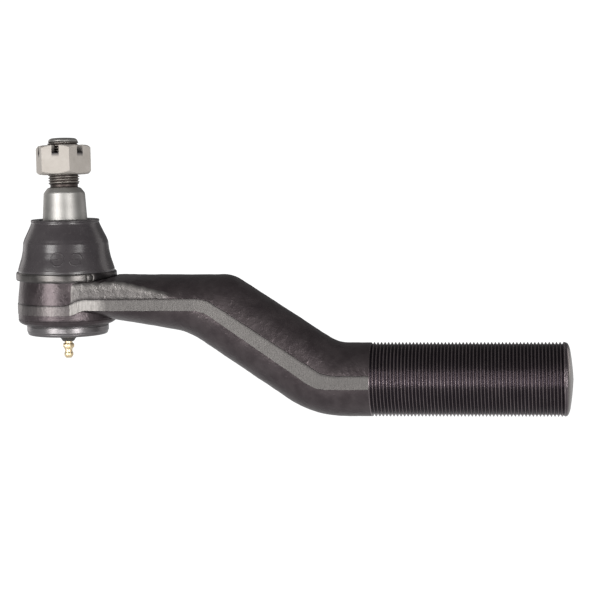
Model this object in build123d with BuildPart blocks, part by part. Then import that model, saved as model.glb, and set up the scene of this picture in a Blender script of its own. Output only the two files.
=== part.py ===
"""Tie rod end for a heavy truck: a forged socket and cranked arm with a threaded shank, and a greased ball stud.

The origin is the centre of the ball. +Z runs up the socket's axis, on the stud's side, and +X points
along the shank. The stud stands at rest with a slight lean, left and back, as its friction holds it.
"""

import os
from math import atan, copysign, cos, pi, radians, sin, tan

from build123d import *

inch = 25.4

# Driving dimensions, in millimetres and degrees.
shankRadius = 1.75 * inch / 2
shankDrop = 2.0 * inch
shankEnd = 12.0 * inch

ballRadius = 16.5
ballClearance = 0.05  # running clearance between the ball and its seats
leanLeft = 1.0
leanBack = 3.5

barrelRadius = 29.8
barrelTop = 10.5
barrelBottom = -16.3
lowerBossRadius = 24.7
lowerBossBottom = -23.0
boreRadius = 20.5
bootSeatRadius = 25.0
bootSeatTop = 14.0
mouthRadius = 15.9

taperSmallRadius = 12.5
taperTop = 62.6
taperBottom = 39.0
taperPerSide = 1 / 16  # 1 in 8 on the diameter
neckRadius = 9.2
studThreadRadius = 0.75 * inch / 2
studThreadStart = 67.4
studEnd = 96.2

nutBottom = 74.0
nutTop = 91.4
nutAcrossFlats = 1.1875 * inch
nutTurn = -4.4
slotWidth = 4.6
slotDepth = 4.9

ringOuterRadius = 30.5
ringTop = 15.4
bootWall = 2.6
bootTop = 45.4
bootNeckInside = 16.1
bushRadius = 15.7
bushBottom = 39.4

plateRadius = 20.4
plateTop = -17.8
plateBottom = -20.8
bossTip = -27.4

clear = 0.1  # gap left between faces that meet inside the socket


def turned(points, plane=Plane.XZ):
    """A closed outline of (radius, height) points, drawn in a plane that holds the axis it is turned about."""
    with BuildSketch(plane) as outline:
        with BuildLine():
            Polyline(*points, close=True)
        make_face()
    return outline.sketch


def taperRadius(height):
    """Radius of the stud's taper at a distance from the ball's centre."""
    return taperSmallRadius + (taperTop - height) * taperPerSide


def outlineHeight(x, corners, radii):
    """Height at x of straight runs whose inner corners are rounded to the given radii."""
    slopes = [(b[1] - a[1]) / (b[0] - a[0]) for a, b in zip(corners, corners[1:])]
    for corner, radius, before, after in zip(corners[1:], radii, slopes, slopes[1:]):
        turn = atan(before) - atan(after)
        reach = radius * tan(abs(turn) / 2)
        start = corner[0] - reach * cos(atan(before))
        finish = corner[0] + reach * cos(atan(after))
        if x < start:
            break
        if x <= finish:
            side = copysign(radius, turn)
            centreX = start + side * sin(atan(before))
            centreZ = corner[1] + (start - corner[0]) * before - side * cos(atan(before))
            return centreZ + copysign((radius**2 - (x - centreX) ** 2) ** 0.5, side)
    runs = [n for n, corner in enumerate(corners[:-1]) if x >= corner[0]]
    start = corners[runs[-1]]
    return start[1] + (x - start[0]) * slopes[runs[-1]]


def betweenStations(stations, steps):
    """The stations with evenly spaced ones added between each two."""
    filled = [
        [a + (b - a) * step / steps for a, b in zip(one, following)]
        for one, following in zip(stations, stations[1:])
        for step in range(steps)
    ]
    return filled + [list(stations[-1])]


# The stud's own frame: its axis leans to -X and to +Y.
studDirection = Vector(-tan(radians(leanLeft)), tan(radians(leanBack)), 1).normalized()
studAxis = Axis((0, 0, 0), tuple(studDirection))
studBase = Plane(origin=(0, 0, 0), x_dir=(1, 0, tan(radians(leanLeft))), z_dir=studDirection)
studProfile = Plane(origin=(0, 0, 0), x_dir=studBase.x_dir, z_dir=-studBase.y_dir)

# ---- Housing: socket, arm and shank in one forging ----

forgedRadius = shankRadius - 0.1  # the bar's radius just before the turned shank
shankTop = forgedRadius - shankDrop
shankBottom = -forgedRadius - shankDrop

# The arm's outlines, seen from the side: corners joined by straight runs, each corner with its radius.
upperCorners = [(0, 12.8), (102.3, 12.8), (165.4, shankTop), (190, shankTop)]
upperRadii = [16.0, 22.0]
lowerCorners = [(0, -8.5), (75.3, -21.7), (150.6, shankBottom), (190, shankBottom)]
lowerRadii = [60.0, 77.0]

# Stations along the arm: x on the upper outline, x on the lower one, and half the arm's width.
armStations = [
    (0, 0, 28.9),
    (31.5, 31.5, 26.3),
    (64, 62, 23.6),
    (88, 76, 22.5),
    (100, 84, 22.4),
    (108, 90, 22.4),
    (118.7, 95, 22.3),
    (149, 124.2, 22.3),
    (161, 143.5, 22.3),
    (173, 168, 22.2),
    (181, 181, forgedRadius),
]
stationSteps = 3
shankStart = 180.0
endChamfer = 2.2
endPoint = 3.0

with BuildPart() as housing:
    revolve(
        turned(
            [
                (0, barrelTop),
                (28.3, barrelTop),
                (barrelRadius, barrelTop - 12),
                (barrelRadius, barrelBottom + 3),
                (barrelRadius - 2.5, barrelBottom),
                (lowerBossRadius, barrelBottom - 1.5),
                (lowerBossRadius, lowerBossBottom + 1.5),
                (lowerBossRadius - 1.5, lowerBossBottom),
                (0, lowerBossBottom),
            ]
        ),
        axis=Axis.Z,
    )
    for topX, bottomX, halfWidth in betweenStations(armStations, stationSteps):
        top = Vector(topX, 0, outlineHeight(topX, upperCorners, upperRadii))
        bottom = Vector(bottomX, 0, outlineHeight(bottomX, lowerCorners, lowerRadii))
        upward = top - bottom
        middle = (top + bottom) * 0.5
        along = Vector(upward.Z, 0, -upward.X)
        with BuildSketch(Plane(origin=middle, x_dir=(0, 1, 0), z_dir=along)):
            Ellipse(halfWidth, upward.length / 2)
    loft(ruled=True)
    # The shank is turned about its own axis and ends in a chamfer and a blunt point.
    with BuildSketch(Plane.XZ):
        with BuildLine():
            Polyline(
                (shankStart, -shankDrop),
                (shankStart, shankRadius - shankDrop),
                (shankEnd - endPoint - endChamfer, shankRadius - shankDrop),
                (shankEnd - endPoint, shankRadius - endChamfer - shankDrop),
                (shankEnd, 3.0 - shankDrop),
                (shankEnd, -shankDrop),
                close=True,
            )
        make_face()
    revolve(axis=Axis((0, 0, -shankDrop), (1, 0, 0)))
    # The spot face round the boot's seat, then the seat itself.
    with BuildSketch(Plane.XY.offset(barrelTop)):
        Circle(ringOuterRadius + 0.7)
    extrude(amount=10, mode=Mode.SUBTRACT)
    with BuildSketch(Plane.XY.offset(barrelTop - 1)):
        Circle(bootSeatRadius)
    extrude(amount=bootSeatTop - barrelTop + 1)
    # The bore for the seats, open below, and the mouth that the stud swings in.
    revolve(
        turned(
            [
                (0, lowerBossBottom - 1),
                (18.0, lowerBossBottom - 1),
                (18.0, plateBottom - clear),
                (boreRadius, plateBottom - clear),
                (boreRadius, 9.1),
                (14.4, 9.1),
                (mouthRadius, bootSeatTop),
                (mouthRadius, bootSeatTop + 1),
                (0, bootSeatTop + 1),
            ]
        ),
        axis=Axis.Z,
        mode=Mode.SUBTRACT,
    )

# ---- Ball stud ----

ballFlat = -14.5
cotterHeight = 88.6
cotterRadius = 2.1
neckStart = (ballRadius**2 - neckRadius**2) ** 0.5

with BuildPart() as ballStud:
    with BuildSketch(studProfile):
        with BuildLine():
            flatRadius = (ballRadius**2 - ballFlat**2) ** 0.5
            Polyline((0, neckStart), (0, ballFlat), (flatRadius, ballFlat))
            ThreePointArc((flatRadius, ballFlat), (ballRadius, 0), (neckRadius, neckStart))
            Line((neckRadius, neckStart), (0, neckStart))
        make_face()
    revolve(axis=studAxis)
    revolve(
        turned(
            [
                (0, neckStart - 2),
                (neckRadius, neckStart - 2),
                (neckRadius, 21.0),
                (taperRadius(taperBottom) - 1.2, taperBottom - 3.5),
                (taperRadius(taperBottom), taperBottom),
                (taperSmallRadius, taperTop),
                (10.0, taperTop + 3.2),
                (8.5, taperTop + 3.6),
                (8.5, studThreadStart - 0.8),
                (studThreadRadius, studThreadStart),
                (studThreadRadius, studEnd - 2.0),
                (studThreadRadius - 1.6, studEnd - 0.4),
                (0, studEnd),
            ],
            studProfile,
        ),
        axis=studAxis,
    )
    # The cotter hole, turned to lie between two slots of the nut.
    cotterPlane = Plane(
        origin=studDirection * cotterHeight,
        x_dir=studDirection,
        z_dir=studBase.x_dir,
    )
    with BuildSketch(cotterPlane):
        Circle(cotterRadius)
    extrude(amount=studThreadRadius + 1, both=True, mode=Mode.SUBTRACT)

# ---- Slotted nut ----

nutBore = studThreadRadius + 0.07
nutPlane = studBase.offset(nutBottom).rotated((0, 0, nutTurn))
hexRadius = nutAcrossFlats / 2 / cos(pi / 6)

with BuildPart() as slottedNut:
    with BuildSketch(nutPlane):
        RegularPolygon(hexRadius, 6)
    extrude(amount=nutTop - nutBottom)
    # Both ends are turned down to a cone of 30 degrees at the corners.
    cornerDrop = 1.6
    revolve(
        turned(
            [
                (0, nutBottom),
                (nutAcrossFlats / 2 - 0.4, nutBottom),
                (hexRadius, nutBottom + cornerDrop),
                (hexRadius, nutTop - cornerDrop),
                (nutAcrossFlats / 2 - 0.4, nutTop),
                (0, nutTop),
            ],
            studProfile,
        ),
        axis=studAxis,
        mode=Mode.INTERSECT,
    )
    for turn in range(3):
        slotPlane = nutPlane.rotated((0, 0, 30 + 60 * turn))
        with BuildSketch(slotPlane.offset(nutTop - nutBottom - slotDepth)):
            Rectangle(2 * hexRadius + 2, slotWidth)
        extrude(amount=slotDepth + 1, mode=Mode.SUBTRACT)
    with BuildSketch(studBase.offset(nutBottom - 1)):
        Circle(nutBore)
    extrude(amount=nutTop - nutBottom + 2, mode=Mode.SUBTRACT)

# ---- Ball seats ----

seatTop = 9.0
seatSplit = 0.6
lowerSeatBottom = -13.4
seatSphere = ballRadius + ballClearance


def seatSketch(low, high):
    """Half section of a seat between two heights: a cylinder outside, the ball's sphere inside."""
    lowRadius = (seatSphere**2 - low**2) ** 0.5
    highRadius = (seatSphere**2 - high**2) ** 0.5
    middle = (low + high) / 2
    with BuildSketch(Plane.XZ) as section:
        with BuildLine():
            Polyline((lowRadius, low), (plateRadius, low), (plateRadius, high), (highRadius, high))
            ThreePointArc(
                (highRadius, high),
                ((seatSphere**2 - middle**2) ** 0.5, middle),
                (lowRadius, low),
            )
        make_face()
    return section.sketch


with BuildPart() as upperBearing:
    revolve(seatSketch(-seatSplit, seatTop), axis=Axis.Z)

with BuildPart() as lowerBearing:
    revolve(seatSketch(lowerSeatBottom, -seatSplit - 0.8), axis=Axis.Z)

# ---- Below the seats: washer, disc spring, cover plate and its seal ----

with BuildPart() as thrustWasher:
    revolve(turned([(10.4, -14.4), (18.6, -14.4), (18.6, -13.5), (10.4, -13.5)]), axis=Axis.Z)

with BuildPart() as preloadSpring:
    revolve(turned([(10.6, -15.7), (18.0, -17.7), (18.0, -16.5), (10.6, -14.5)]), axis=Axis.Z)

fittingShank = 2.4
with BuildPart() as coverPlate:
    revolve(
        turned(
            [
                (fittingShank + 0.05, plateTop),
                (plateRadius, plateTop),
                (plateRadius, plateBottom),
                (8.6, plateBottom),
                (3.9, bossTip + 1.4),
                (3.3, bossTip),
                (fittingShank + 0.05, bossTip),
            ]
        ),
        axis=Axis.Z,
    )

sealSection = 0.9
with BuildPart() as coverSeal:
    with BuildSketch(Plane.XZ):
        with Locations((boreRadius - sealSection - clear, plateTop + sealSection + 0.05)):
            Circle(sealSection)
    revolve(axis=Axis.Z)

# ---- Grease fitting with its check ball and spring ----

fittingTip = -37.7
boreOfFitting = 1.15
hexAcrossFlats = 6.2

with BuildPart() as greaseFitting:
    revolve(
        turned(
            [
                (0, plateTop - 1.0),
                (fittingShank, plateTop - 1.0),
                (fittingShank, -28.2),
                (2.9, -28.6),
                (2.9, -31.6),
                (2.3, -32.2),
                (2.3, -34.0),
                (2.75, -35.0),
                (2.75, -36.0),
                (1.6, fittingTip),
                (0, fittingTip),
            ]
        ),
        axis=Axis.Z,
    )
    with BuildSketch(Plane.XY.offset(-31.4)):
        RegularPolygon(hexAcrossFlats / 2, 6, major_radius=False)
    extrude(amount=2.6)
    with BuildSketch(Plane.XY.offset(-35.9)):
        Circle(boreOfFitting)
    extrude(amount=30, mode=Mode.SUBTRACT)
    with BuildSketch(Plane.XY.offset(fittingTip - 1)):
        Circle(0.7)
    extrude(amount=4, mode=Mode.SUBTRACT)

checkBallRadius = 1.0
checkBallHeight = -34.8
with BuildPart() as fittingBall:
    with Locations((0, 0, checkBallHeight)):
        Sphere(checkBallRadius)

with BuildPart() as fittingSpring:
    revolve(turned([(0.55, -33.7), (0.95, -33.7), (0.95, -26.0), (0.55, -26.0)]), axis=Axis.Z)

# ---- Boot, its two rings and its bush ----


def studShift(height):
    """How far the boot's middle has followed the lean of the stud at a height, as (x, y)."""
    share = min(max((height - 16.0) / 17.5, 0), 1)
    return (studDirection.X * height * share, studDirection.Y * height * share)


bootOutside = [
    (10.7, 29.8),
    (14.7, 29.8),
    (14.8, 29.1),
    (16.8, 29.2),
    (20.4, 28.2),
    (24.0, 26.9),
    (28.0, 26.1),
    (33.2, 25.8),
    (35.2, 25.0),
    (38.8, 23.2),
    (42.4, 21.3),
    (bootTop, 20.8),
]
bootInside = [(height, radius - bootWall) for height, radius in bootOutside if 15.5 < height < 42]

with BuildPart() as dustBoot:
    for height, radius in bootOutside:
        with BuildSketch(Plane.XY.offset(height)):
            with Locations(studShift(height)):
                Circle(radius)
    loft(ruled=True)
    with BuildSketch(Plane.XY.offset(10)):
        Circle(bootSeatRadius + clear)
    extrude(amount=bootInside[0][0] - 10, mode=Mode.SUBTRACT)
    for height, radius in bootInside:
        with BuildSketch(Plane.XY.offset(height)):
            with Locations(studShift(height)):
                Circle(radius)
    loft(ruled=True, mode=Mode.SUBTRACT)
    with BuildSketch(Plane.XY.offset(bootInside[-1][0] - 0.5)):
        with Locations(studShift((bushBottom + bootTop) / 2)):
            Circle(bootNeckInside)
    extrude(amount=10, mode=Mode.SUBTRACT)

with BuildPart() as bootBaseRing:
    revolve(
        turned(
            [
                (30.0, barrelTop + clear),
                (ringOuterRadius, barrelTop + clear),
                (ringOuterRadius, ringTop - 0.5),
                (ringOuterRadius - 0.5, ringTop),
                (29.4, ringTop),
                (29.4, ringTop - 0.5),
                (30.0, ringTop - 0.5),
            ]
        ),
        axis=Axis.Z,
    )

with BuildPart() as bootBushing:
    with BuildSketch(studBase.offset(bushBottom)):
        Circle(bushRadius)
        Circle(taperRadius(bushBottom) + 0.06, mode=Mode.SUBTRACT)
    extrude(amount=6.4)

with BuildPart() as bootLipRing:
    with BuildSketch(Plane.XY.offset(bootTop + 0.05)):
        with Locations(studShift(bootTop)):
            Circle(20.7)
            Circle(bushRadius + 0.5, mode=Mode.SUBTRACT)
    extrude(amount=1.2)

# ---- Export ----

subparts = {
    "housing": housing,
    "ball_stud": ballStud,
    "slotted_nut": slottedNut,
    "upper_bearing": upperBearing,
    "lower_bearing": lowerBearing,
    "thrust_washer": thrustWasher,
    "preload_spring": preloadSpring,
    "cover_plate": coverPlate,
    "cover_seal": coverSeal,
    "grease_fitting": greaseFitting,
    "fitting_ball": fittingBall,
    "fitting_spring": fittingSpring,
    "dust_boot": dustBoot,
    "boot_base_ring": bootBaseRing,
    "boot_bushing": bootBushing,
    "boot_lip_ring": bootLipRing,
}

os.makedirs("parts", exist_ok=True)
for name, piece in subparts.items():
    piece.part.label = name
    export_step(piece.part, f"parts/{name}.step")
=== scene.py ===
from math import cos, pi, radians, sin, tan

import bmesh
import bpy
import numpy as np
from mathutils import Matrix, Vector


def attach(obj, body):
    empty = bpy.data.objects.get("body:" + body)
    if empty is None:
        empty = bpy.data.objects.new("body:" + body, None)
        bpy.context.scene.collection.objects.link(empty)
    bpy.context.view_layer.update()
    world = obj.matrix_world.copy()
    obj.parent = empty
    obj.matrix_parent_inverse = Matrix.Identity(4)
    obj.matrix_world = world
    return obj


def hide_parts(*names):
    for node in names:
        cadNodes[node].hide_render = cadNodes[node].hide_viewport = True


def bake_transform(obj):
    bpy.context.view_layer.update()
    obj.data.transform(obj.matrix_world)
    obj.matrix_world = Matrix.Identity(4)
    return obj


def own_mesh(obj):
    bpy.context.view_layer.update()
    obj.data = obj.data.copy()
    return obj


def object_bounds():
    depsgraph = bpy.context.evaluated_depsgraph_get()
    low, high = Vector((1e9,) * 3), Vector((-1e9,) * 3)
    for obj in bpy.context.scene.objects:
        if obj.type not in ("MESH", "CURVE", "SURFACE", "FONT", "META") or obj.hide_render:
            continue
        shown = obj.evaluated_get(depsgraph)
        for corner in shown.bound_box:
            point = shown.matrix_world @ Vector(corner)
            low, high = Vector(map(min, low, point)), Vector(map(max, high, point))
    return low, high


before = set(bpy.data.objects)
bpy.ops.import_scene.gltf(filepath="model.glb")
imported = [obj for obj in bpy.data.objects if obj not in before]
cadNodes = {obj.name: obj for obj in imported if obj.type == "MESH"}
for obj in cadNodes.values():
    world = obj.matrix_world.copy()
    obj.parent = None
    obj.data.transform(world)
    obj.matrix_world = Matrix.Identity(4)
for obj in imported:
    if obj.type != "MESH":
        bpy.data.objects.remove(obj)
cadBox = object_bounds()
print("frame loaded:", len(cadNodes), "solids")

# Shapes are worked out in millimetres, in the solids' own frame, and scaled when they become meshes.
mm = 0.001


# Each corner of a polyline gives way to a parabola that starts and ends one cut away from it.
def roundedLine(corners, cuts, closed=False, steps=6):
    corners = np.array(corners, float)
    cuts = np.broadcast_to(np.array(cuts, float), len(corners)).copy()
    if not closed:
        cuts[[0, -1]] = 0
    before = np.roll(corners, 1, 0) - corners
    after = np.roll(corners, -1, 0) - corners
    lengthBefore = np.linalg.norm(before, axis=1)
    lengthAfter = np.linalg.norm(after, axis=1)
    reach = np.minimum(cuts, 0.49 * np.minimum(lengthBefore, lengthAfter))
    start = corners + before * (reach / lengthBefore)[:, None]
    finish = corners + after * (reach / lengthAfter)[:, None]
    t = np.linspace(0, 1, steps)[None, :, None]
    points = (1 - t) ** 2 * start[:, None] + 2 * t * (1 - t) * corners[:, None] + t**2 * finish[:, None]
    points = points.reshape(-1, 2)
    if closed:
        points = np.vstack((points, points[:1]))
    step = np.linalg.norm(np.diff(points, axis=0), axis=1)
    return points[np.concatenate(([True], step > 1e-5))]


# A line resampled so that no two neighbours are further apart than the step.
def dividedLine(points, step):
    length = np.concatenate(([0], np.cumsum(np.linalg.norm(np.diff(points, axis=0), axis=1))))
    extra = np.linspace(0, length[-1], int(length[-1] / step) + 2)
    places = np.unique(np.round(np.concatenate((length, extra)), 6))
    return np.stack([np.interp(places, length, column) for column in points.T], -1)


# Where local x, y, z stand for the socket's axis, the leaning stud's axis and the shank's axis.
def onSocket(x, y, z):
    return np.stack(np.broadcast_arrays(x, y, z), -1)


lean = {"left": 1.0, "back": 3.5}  # degrees
studUp = np.array((-tan(radians(lean["left"])), tan(radians(lean["back"])), 1.0))
studUp /= np.linalg.norm(studUp)
studAcross = np.array((1.0, 0.0, tan(radians(lean["left"]))))
studAcross /= np.linalg.norm(studAcross)
studBack = np.cross(studUp, studAcross)


def onStud(x, y, z):
    x, y, z = np.broadcast_arrays(x, y, z)
    return x[..., None] * studAcross + y[..., None] * studBack + z[..., None] * studUp


shankDrop = 50.8


def onShank(x, y, z):
    x, y, z = np.broadcast_arrays(x, y, z)
    return np.stack((z, x, y - shankDrop), -1)


# A profile of radius and height carried once round an axis.
def turned(profile, place, segments=160):
    angle = np.linspace(0, 2 * pi, segments + 1)
    radius = profile[:, 0][:, None]
    height = profile[:, 1][:, None]
    return place(radius * np.cos(angle), radius * np.sin(angle), height)


# A thread: its tooth, drawn over one pitch, carried along a helix. The tooth is as deep as the fade
# lets it be, the crest is held under the limit line, and both ends are gathered on flat planes.
def threaded(values, place):
    early, late, gather = 1.4, 0.6, 0.15  # turns before and after the thread, how fast the ends close
    tooth = np.array(values["tooth"])
    pitch = values["pitch"]
    lead = values["start"] - early * pitch
    turns = (values["finish"] - lead) / pitch + late
    angle = (2 * pi / values["segments"] * np.arange(int(turns * values["segments"]) + 1))[:, None]
    along = lead + pitch * (angle / (2 * pi) + tooth[:, 0][None, :])
    fadeIn = np.clip((along - values["start"]) / (values["fadeIn"] * pitch), 0, 1)
    fadeOut = np.clip((values["finish"] - along) / (values["fadeOut"] * pitch), 0, 1)
    depth = values["depth"] * (1 - tooth[:, 1][None, :]) * fadeIn * fadeOut
    limit = np.array(values["limit"])
    radius = np.minimum(values["major"] - depth, np.interp(along, limit[:, 0], limit[:, 1]))
    low, high = limit[0, 0], limit[-1, 0]
    radius = radius - gather * (np.maximum(low - along, 0) + np.maximum(along - high, 0))
    return place(radius * np.cos(angle), radius * np.sin(angle), np.clip(along, low, high))


tooth = [  # place in the pitch, share of the full height
    (0.0, 0.92), (0.03, 1.0), (0.11, 1.0), (0.14, 0.92), (0.43, 0.06), (0.5, 0.0), (0.64, 0.0), (0.71, 0.06),
    (1.0, 0.92),
]


# Smooth unevenness between about -1 and 1: a sum of seeded plane waves near one wavelength.
def wander(points, wavelength, seed, waves=22):
    chance = np.random.default_rng(seed)
    direction = chance.normal(size=(waves, 3))
    direction /= np.linalg.norm(direction, axis=1, keepdims=True)
    direction *= 2 * pi / wavelength * chance.uniform(0.6, 1.7, (waves, 1))
    phase = chance.uniform(0, 2 * pi, waves)
    return np.sin(points @ direction.T + phase).sum(-1) / waves**0.5


def smoothStep(value, low, high):
    share = np.clip((value - low) / (high - low), 0, 1)
    return share * share * (3 - 2 * share)


# Grids of points, each joined to its neighbours by quads, become one closed mesh. Marks are named
# numbers kept at the points, one array for each grid.
def makePiece(name, grids, material, marks=None, sharp=38):
    points = np.concatenate([grid.reshape(-1, 3) for grid in grids])
    quads = []
    offset = 0
    for grid in grids:
        rows, columns = grid.shape[:2]
        index = np.arange(rows * columns).reshape(rows, columns) + offset
        quad = np.stack((index[:-1, :-1], index[1:, :-1], index[1:, 1:], index[:-1, 1:]), -1)
        quads.append(quad.reshape(-1, 4))
        offset += rows * columns
    mesh = bpy.data.meshes.new(name)
    mesh.from_pydata(points * mm, [], np.concatenate(quads).tolist())
    for mark, arrays in (marks or {}).items():
        layer = mesh.attributes.new(mark, "FLOAT", "POINT")
        layer.data.foreach_set("value", np.concatenate([a.reshape(-1) for a in arrays]).astype(np.float32))
    shell = bmesh.new()
    shell.from_mesh(mesh)
    bmesh.ops.remove_doubles(shell, verts=shell.verts, dist=2e-6)
    bmesh.ops.holes_fill(shell, edges=[edge for edge in shell.edges if edge.is_boundary])
    bmesh.ops.recalc_face_normals(shell, faces=shell.faces)
    shell.to_mesh(mesh)
    shell.free()
    mesh.polygons.foreach_set("use_smooth", np.ones(len(mesh.polygons), bool))
    mesh.set_sharp_from_angle(angle=radians(sharp))
    mesh.materials.append(material)
    piece = bpy.data.objects.new(name, mesh)
    bpy.context.scene.collection.objects.link(piece)
    print("made", name, len(mesh.polygons), "faces")
    return piece


# A shader socket that can be added, subtracted, multiplied and so on: each sign adds a Math node.
class Amount:
    def __init__(self, finish, socket):
        self.finish = finish
        self.socket = socket

    def math(self, operation, first, second=0.0):
        made = self.finish.node("ShaderNodeMath", {"operation": operation}, {0: first, 1: second})
        return Amount(self.finish, made.outputs[0])

    def __add__(self, other):
        return self.math("ADD", self, other)

    def __radd__(self, other):
        return self.math("ADD", other, self)

    def __sub__(self, other):
        return self.math("SUBTRACT", self, other)

    def __rsub__(self, other):
        return self.math("SUBTRACT", other, self)

    def __mul__(self, other):
        return self.math("MULTIPLY", self, other)

    def __rmul__(self, other):
        return self.math("MULTIPLY", other, self)

    def __pow__(self, other):
        return self.math("POWER", self, other)

    def __rpow__(self, other):
        return self.math("POWER", other, self)

    def between(self, low, high):
        settings = {"interpolation_type": "SMOOTHSTEP"}
        made = self.finish.node("ShaderNodeMapRange", settings, {0: self, 1: low, 2: high})
        return Amount(self.finish, made.outputs[0])

    def size(self):
        return self.math("ABSOLUTE", self)

    def most(self, other):
        return self.math("MAXIMUM", self, other)


# The nodes of a material or a world, made one at a time.
class Nodes:
    def __init__(self, owner):
        owner.use_nodes = True
        self.tree = owner.node_tree
        self.tree.nodes.clear()

    def node(self, kind, settings=None, sockets=None):
        made = self.tree.nodes.new(kind)
        for key, value in (settings or {}).items():
            setattr(made, key, value)
        for key, value in (sockets or {}).items():
            value = value.socket if isinstance(value, Amount) else value
            if isinstance(value, bpy.types.NodeSocket):
                self.tree.links.new(value, made.inputs[key])
            else:
                made.inputs[key].default_value = value
        return made

    def amount(self, kind, output, settings=None, sockets=None):
        return Amount(self, self.node(kind, settings, sockets).outputs[output])


# A material under construction, with one Principled shader.
class Finish(Nodes):
    def __init__(self, name):
        self.material = bpy.data.materials.new(name)
        super().__init__(self.material)
        self.shader = self.node("ShaderNodeBsdfPrincipled")
        self.node("ShaderNodeOutputMaterial", {}, {"Surface": self.shader.outputs[0]})
        self.place = self.node("ShaderNodeTexCoord").outputs["Object"]

    def mark(self, name):
        return self.amount("ShaderNodeAttribute", "Fac", {"attribute_name": name})

    def stretched(self, scale, turn=(0, 0, 0)):
        sockets = {"Vector": self.place, "Rotation": turn, "Scale": scale}
        return self.node("ShaderNodeMapping", {}, sockets).outputs[0]

    def noise(self, scale, detail=4.0, rough=0.55, place=None):
        sockets = {"Vector": place or self.place, "Scale": scale, "Detail": detail, "Roughness": rough}
        return self.amount("ShaderNodeTexNoise", 0, {}, sockets)

    def apart(self):
        split = self.node("ShaderNodeSeparateXYZ", {}, {0: self.place})
        return [Amount(self, socket) for socket in split.outputs]

    def blend(self, factor, first, second):
        first = (*first, 1) if isinstance(first, tuple) else first
        second = (*second, 1) if isinstance(second, tuple) else second
        made = self.node("ShaderNodeMix", {"data_type": "RGBA"}, {0: factor, 6: first, 7: second})
        return made.outputs[2]

    def raised(self, height, distance, strength=1.0):
        sockets = {"Height": height, "Distance": distance, "Strength": strength}
        return self.node("ShaderNodeBump", {}, sockets).outputs[0]

    def use(self, **sockets):
        for key, value in sockets.items():
            name = "Base Color" if key == "colour" else key.capitalize()
            value = value.socket if isinstance(value, Amount) else value
            if isinstance(value, bpy.types.NodeSocket):
                self.tree.links.new(value, self.shader.inputs[name])
            else:
                self.shader.inputs[name].default_value = (*value, 1) if isinstance(value, tuple) else value
        return self.material


# Forged steel under its scale: mottled, fine grained, with bright sheared and machined faces, and painted shade along
# the sheared strip's step.
def forgedSteel():
    values = {
        "dark": (0.059, 0.048, 0.052),
        "pale": (0.087, 0.073, 0.077),
        "sheared": (0.29, 0.278, 0.268),
        "face": (0.16, 0.154, 0.15),
        "strip": (0.068, 0.066, 0.064),
        "machined": (0.17, 0.163, 0.168),
        # painted shade: the dark colour laid along the step lines beside the strip
        "creaseShade": (0.022, 0.019, 0.02),
    }
    finish = Finish("forgedSteel")
    sheared = finish.mark("sheared")
    face = finish.mark("face")
    machined = finish.mark("machined")
    bared = finish.mark("bared")
    creaseShade = finish.mark("creaseShade")
    mottle = finish.noise(110, 5, 0.55)
    grain = finish.noise(1100, 3, 0.6)
    dents = finish.noise(330, 2, 0.5).between(0.52, 0.75)
    peel = finish.noise(620, 2, 0.5)
    streaks = finish.noise(1, 3, 0.6, finish.stretched((1500, 90, 160)))
    rings = finish.noise(1, 2, 0.5, finish.stretched((60, 60, 2600)))
    colour = finish.blend(mottle.between(0.3, 0.72), values["dark"], values["pale"])
    colour = finish.blend(face * (0.45 + 0.55 * grain), colour, values["face"])
    colour = finish.blend(sheared * 0.85, colour, values["strip"])
    colour = finish.blend(bared * (0.55 + 0.45 * streaks.between(0.3, 0.6)), colour, values["sheared"])
    colour = finish.blend(machined * 0.85, colour, values["machined"])
    # Painted shade: a dark line painted where the sheared strip steps against the flat face.
    colour = finish.blend(creaseShade * 0.8, colour, values["creaseShade"])
    rough = 0.27 + 0.1 * mottle + 0.08 * sheared - 0.04 * machined + 0.06 * grain
    skin = (1 - machined) * (grain * 0.5 + dents * 0.8 + peel * 1.1) * (1 - 0.75 * sheared)
    height = skin + sheared * streaks * 0.8 + machined * rings * 0.25
    return finish.use(colour=colour, roughness=rough, metallic=0.8, normal=finish.raised(height, 0.00012, 0.8))


# Turned steel, dark in the roots and brighter on the crests.
def threadSteel(name, crest, root):
    values = {"bare": (0.21, 0.19, 0.182)}
    finish = Finish(name)
    bare = finish.mark("bare")
    crests = finish.mark("crest")
    wear = finish.noise(90, 4, 0.6)
    grain = finish.noise(1600, 2, 0.5)
    colour = finish.blend(crests * (0.35 + 0.65 * wear), root, crest)
    colour = finish.blend(bare, colour, values["bare"])
    rough = 0.19 + 0.1 * wear + 0.06 * grain
    return finish.use(colour=colour, roughness=rough, metallic=0.9, normal=finish.raised(grain, 0.00003, 0.4))


# Ground steel: fine marks run round the taper.
def groundSteel():
    values = {
        "pale": (0.4, 0.394, 0.382),
        "dull": (0.295, 0.288, 0.277),
        "dark": (0.07, 0.058, 0.055),
        "crest": (0.36, 0.335, 0.31),
    }
    finish = Finish("groundSteel")
    threadShare = finish.mark("thread")
    crests = finish.mark("crest")
    lines = finish.noise(1, 3, 0.6, finish.stretched((35, 35, 3600)))
    cloud = finish.noise(75, 4, 0.55)
    colour = finish.blend(cloud.between(0.25, 0.75), values["dull"], values["pale"])
    threadColour = finish.blend(crests, values["dark"], values["crest"])
    colour = finish.blend(threadShare, colour, threadColour)
    rough = 0.38 + 0.12 * lines + 0.1 * cloud
    normal = finish.raised(lines * (1 - threadShare), 0.00002, 0.5)
    return finish.use(colour=colour, roughness=rough, metallic=0.95, normal=normal)
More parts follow.
